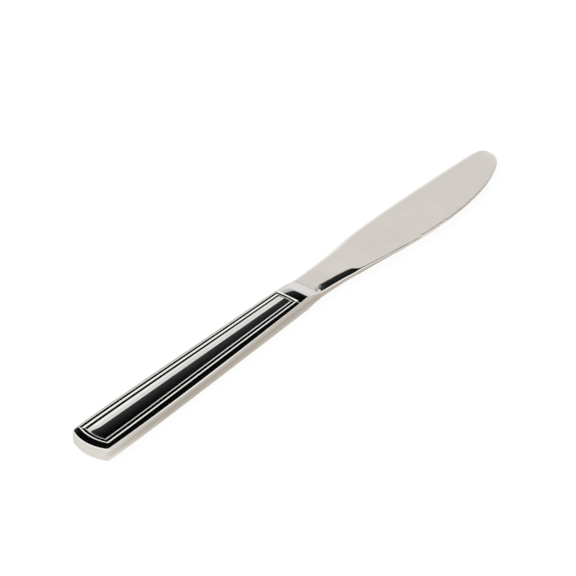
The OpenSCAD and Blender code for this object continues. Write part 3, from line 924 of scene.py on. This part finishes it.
CAVITY_HALF_T = HALF_T - PANEL_SINK - float(crown_rise(panel_from)) - SHELL_WALL
CAVITY_STEPS = 16
OVERRUN = 0.5
cavity_butt = [
    (SHELL_WALL + BUTT_ARCH * v * v, v * (half_w(SHELL_WALL + BUTT_ARCH * v * v) - SHELL_WALL))
    for v in np.linspace(-1, 1, CAVITY_STEPS + 1)
]
cavity_end = HANDLE_LEN - JOINT_WALL
cavity_outline = cavity_butt + [(cavity_end, side * (half_w(cavity_end) - SHELL_WALL)) for side in (1, -1)]
tang_from, tang_to = HANDLE_LEN - TANG_LEN, HANDLE_LEN + OVERRUN
tang_outline = [
    (tang_from, TANG_END_W / 2 + TANG_CLEARANCE),
    (tang_to, TANG_W / 2 + TANG_CLEARANCE),
    (tang_to, -TANG_W / 2 - TANG_CLEARANCE),
    (tang_from, -TANG_END_W / 2 - TANG_CLEARANCE),
]
tang_room_half = TANG_T / 2 + TANG_CLEARANCE


# %% Two shells from one half
def hollowed(name, points, faces, low, high, tang_low, tang_high):
    shell = bpy.data.objects.new(name, make_mesh(name, points, faces))
    tools = [
        prism(name + "_cavity", cavity_outline, low, high),
        prism(name + "_tang_room", tang_outline, tang_low, tang_high),
    ]
    for part in [shell, *tools]:
        bpy.context.scene.collection.objects.link(part)
    for tool in tools:
        cut = shell.modifiers.new(tool.name, "BOOLEAN")
        cut.operation, cut.solver, cut.object = "DIFFERENCE", "EXACT", tool
    evaluated = shell.evaluated_get(bpy.context.evaluated_depsgraph_get())
    mesh = bpy.data.meshes.new_from_object(evaluated)
    for part in [shell, *tools]:
        bpy.data.objects.remove(part)
    return mesh


def mirrored(points):
    return np.column_stack([points[:, 0], points[:, 1], HANDLE_T - points[:, 2]])


below, above = HALF_T - OVERRUN, HALF_T + OVERRUN
upper_mesh = hollowed(
    "upper", half_points, half_faces, below, HALF_T + CAVITY_HALF_T, below, HALF_T + tang_room_half
)
lower_mesh = hollowed(
    "lower", mirrored(half_points), half_faces, HALF_T - CAVITY_HALF_T, above, HALF_T - tang_room_half, above
)
finish_piece("upper_half_shell", upper_mesh, shell_finish, "handle_shell_upper")
finish_piece("lower_half_shell", lower_mesh, shell_finish, "handle_shell_lower")

# %% The blade with its teeth
NOTCH_CREST_SHARE, NOTCH_UNDER_SHARE, NOTCH_ROOT_DROP = 0.12, 0.25, 0.04
cut_notches = notch_tree()
toothed = run_tree(
    cut_notches,
    blade_blank,
    "teeth",
    {
        "Pitch": TOOTH_PITCH * MM,
        "Depth": TOOTH_DEPTH * MM,
        "Crest share": NOTCH_CREST_SHARE,
        "Under share": NOTCH_UNDER_SHARE,
        "Root drop": NOTCH_ROOT_DROP * MM,
        "Middle height": HALF_T * MM,
        "Material": blade_finish,
    },
)
finish_piece("blade_bolster_and_tang", toothed, blade_finish, "blade")

# %% The filling keeps its solid
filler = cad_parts["handle_filler"]
filler.data.materials.clear()
filler.data.materials.append(cement_finish)
print("filling:", len(filler.data.polygons), "faces")

# %% [markdown]
# ## Light tent
# The steel mirrors something bright below and something dark above, so the knife is taken to have lain on
# a white sweep under a dark ceiling. A mirror shows only its surroundings, so they make the picture:
# bright up to about as high as the camera looks down, and dark above.
# The heights and levels were set by comparing pictures. All rays but mirrored ones see an even white.

# %% Surroundings
TENT = [
    (29.6, (1.2, 1.2, 1.2)),
    (30.9, (1.08, 1.08, 1.08)),
    (31.9, (0.91, 0.91, 0.91)),
    (32.6, (0.86, 0.86, 0.86)),
    (33.8, (0.86, 0.86, 0.86)),
    (34.6, (0.98, 0.98, 0.98)),
    (35.3, (1.12, 1.12, 1.12)),
    (35.9, (0.037, 0.038, 0.041)),
    (39, (0.029, 0.03, 0.033)),
    (42.5, (0.012, 0.013, 0.014)),
    (46.4, (0.003, 0.003, 0.003)),
    (50, (0.002, 0.002, 0.002)),
    (84, (0.003, 0.003, 0.003)),
    (88, (0.5, 0.5, 0.5)),
]


def surroundings():
    world = bpy.data.worlds.new("light_tent")
    bpy.context.scene.world = world
    world.use_nodes = True
    tree = world.node_tree
    tree.nodes.clear()
    way = add_node(tree, "ShaderNodeTexCoord").outputs["Generated"]
    height = add_node(tree, "ShaderNodeSeparateXYZ", {0: way}).outputs["Z"]
    ramp = tree.nodes.new("ShaderNodeValToRGB")
    tree.links.new(height, ramp.inputs[0])
    while len(ramp.color_ramp.elements) < len(TENT):
        ramp.color_ramp.elements.new(0.5)
    for element, (degrees, light) in zip(ramp.color_ramp.elements, TENT):
        element.position, element.color = math.sin(math.radians(degrees)), (*light, 1)
    tent = add_node(tree, "ShaderNodeBackground", {"Color": ramp.outputs[0], "Strength": 1.0})
    even = add_node(tree, "ShaderNodeBackground", {"Color": (1, 1, 1, 1), "Strength": 1.0})
    rays = add_node(tree, "ShaderNodeLightPath")
    parts = {0: rays.outputs["Is Glossy Ray"], 1: even.outputs[0], 2: tent.outputs[0]}
    mixed = add_node(tree, "ShaderNodeMixShader", parts)
    tree.links.new(mixed.outputs[0], add_node(tree, "ShaderNodeOutputWorld").inputs[0])


surroundings()


# %% Floor
# The steel mirrors the floor in painted tones that change with the place: painted shade near the knife,
# painted light past its butt, a painted reflection under the front of the blade, and bright far off. They were
# set by comparing pictures.
# The camera sees the floor nearly plain white, with a small share of a paper's shading.
FLOOR_SIZE = 3.0
PAINTED_SHADE_NEAR, PAINTED_LIGHT_PAST_BUTT, MIRRORED_FAR = (0.57, 0.525, 0.48), (0.95, 0.93, 0.9), (1.25, 1.24, 1.22)
PAINTED_REFLECTION_AT_TIP = (0.78, 0.74, 0.69)
BUTT_FROM, BUTT_TO, BUTT_FADE = -0.07, -0.121, 3.0
TIP_FROM, TIP_TO = 0.035, 0.055
FAR_FROM, FAR_TO = 0.03, 0.15
PAPER_COLOUR, SEEN_SHARE = (0.9, 0.9, 0.9, 1), 0.94


def between_places(tree, value, start, end):
    """Share from 0 at the start to 1 at the end."""
    span = {"Value": value, "From Min": start, "From Max": end}
    return add_node(tree, "ShaderNodeMapRange", span, clamp=True).outputs[0]


def floor_finish():
    material, tree, shader = new_material("white_sweep")
    tree.nodes.remove(shader)
    place = add_node(tree, "ShaderNodeTexCoord").outputs["Object"]
    parts = add_node(tree, "ShaderNodeSeparateXYZ", {0: place})
    butt = between_places(tree, parts.outputs["X"], BUTT_FROM, BUTT_TO)
    butt = math_node(tree, "POWER", butt, BUTT_FADE)
    tip = between_places(tree, parts.outputs["X"], TIP_FROM, TIP_TO)
    # Painted shade near the knife, painted light past the butt and a painted reflection under the front of the
    # blade.
    near = blend_colour(tree, butt, blend_colour(tree, tip, PAINTED_SHADE_NEAR, PAINTED_REFLECTION_AT_TIP), PAINTED_LIGHT_PAST_BUTT)
    far = between_places(tree, math_node(tree, "ABSOLUTE", parts.outputs["Y"]), FAR_FROM, FAR_TO)
    painted_floor_tones = blend_colour(tree, far, near, MIRRORED_FAR)
    rays = add_node(tree, "ShaderNodeLightPath")
    paper = add_node(tree, "ShaderNodeBsdfDiffuse", {"Color": PAPER_COLOUR})
    mirrored = add_node(tree, "ShaderNodeEmission", {"Color": painted_floor_tones, "Strength": 1.0})
    seen = add_node(tree, "ShaderNodeEmission", {"Color": (1, 1, 1, 1), "Strength": 1.0})

    def mixed(share, first, second):
        parts = {0: share, 1: first.outputs[0], 2: second.outputs[0]}
        return add_node(tree, "ShaderNodeMixShader", parts)

    camera_mix = mixed(SEEN_SHARE, paper, seen)
    either = mixed(rays.outputs["Is Camera Ray"], paper, camera_mix)
    last = mixed(rays.outputs["Is Glossy Ray"], either, mirrored)
    tree.links.new(last.outputs[0], tree.nodes["Material Output"].inputs["Surface"])
    return material


floor_mesh = bpy.data.meshes.new("floor")
half_floor = FLOOR_SIZE / 2
floor_corners = [(x * half_floor, y * half_floor, 0) for x, y in ((-1, -1), (1, -1), (1, 1), (-1, 1))]
floor_mesh.from_pydata(floor_corners, [], [(0, 1, 2, 3)])
floor = bpy.data.objects.new("floor", floor_mesh)
floor_mesh.materials.append(floor_finish())
bpy.context.scene.collection.objects.link(floor)

# %% Softbox
SOFTBOX_SIZE, SOFTBOX_POWER, SOFTBOX_PLACE = 0.8, 6.0, (-0.5, 0.4, 0.9)
softbox = bpy.data.lights.new("softbox", "AREA")
softbox.shape, softbox.size, softbox.energy = "DISK", SOFTBOX_SIZE, SOFTBOX_POWER
softbox_object = bpy.data.objects.new("softbox", softbox)
softbox_object.location = SOFTBOX_PLACE
softbox_object.rotation_euler = Vector(softbox_object.location).to_track_quat("Z", "Y").to_euler()
softbox_object.visible_glossy = False
bpy.context.scene.collection.objects.link(softbox_object)

# %% [markdown]
# ## Camera
# The photograph looks down on the knife by about 36 degrees, from the butt's side, with a long lens.
# Its place was fitted to the straight lines of the handle.

# %% Camera
CAMERA_LEAN, CAMERA_TURN = math.radians(35.865), math.radians(50.613)
CAMERA_FAR, PIXELS_PER_MM, PICTURE = 900.0, 2.7261, 576
SENSOR = 36.0
AIM_X, AIM_Y, AIM_DOWN = 113.992, 5.497, 2.851
aim = Vector(((AIM_X - TOTAL_LEN / 2) * MM, (AIM_Y - mid_y) * MM, (HANDLE_T - AIM_DOWN) * MM))
back_way = Vector(
    (
        -math.sin(CAMERA_TURN) * math.cos(CAMERA_LEAN),
        -math.cos(CAMERA_TURN) * math.cos(CAMERA_LEAN),
        math.sin(CAMERA_LEAN),
    )
)
camera_data = bpy.data.cameras.new("camera")
camera_data.sensor_width = SENSOR
camera_data.lens = PIXELS_PER_MM * CAMERA_FAR / PICTURE * SENSOR
camera_data.clip_start, camera_data.clip_end = 0.05, 20
camera = bpy.data.objects.new("camera", camera_data)
camera.location = aim + back_way * CAMERA_FAR * MM
camera.rotation_euler = back_way.to_track_quat("Z", "Y").to_euler()
bpy.context.scene.collection.objects.link(camera)
bpy.context.scene.camera = camera
bpy.context.scene.view_settings.view_transform = "Standard"
print("lens, mm:", round(camera_data.lens, 1))
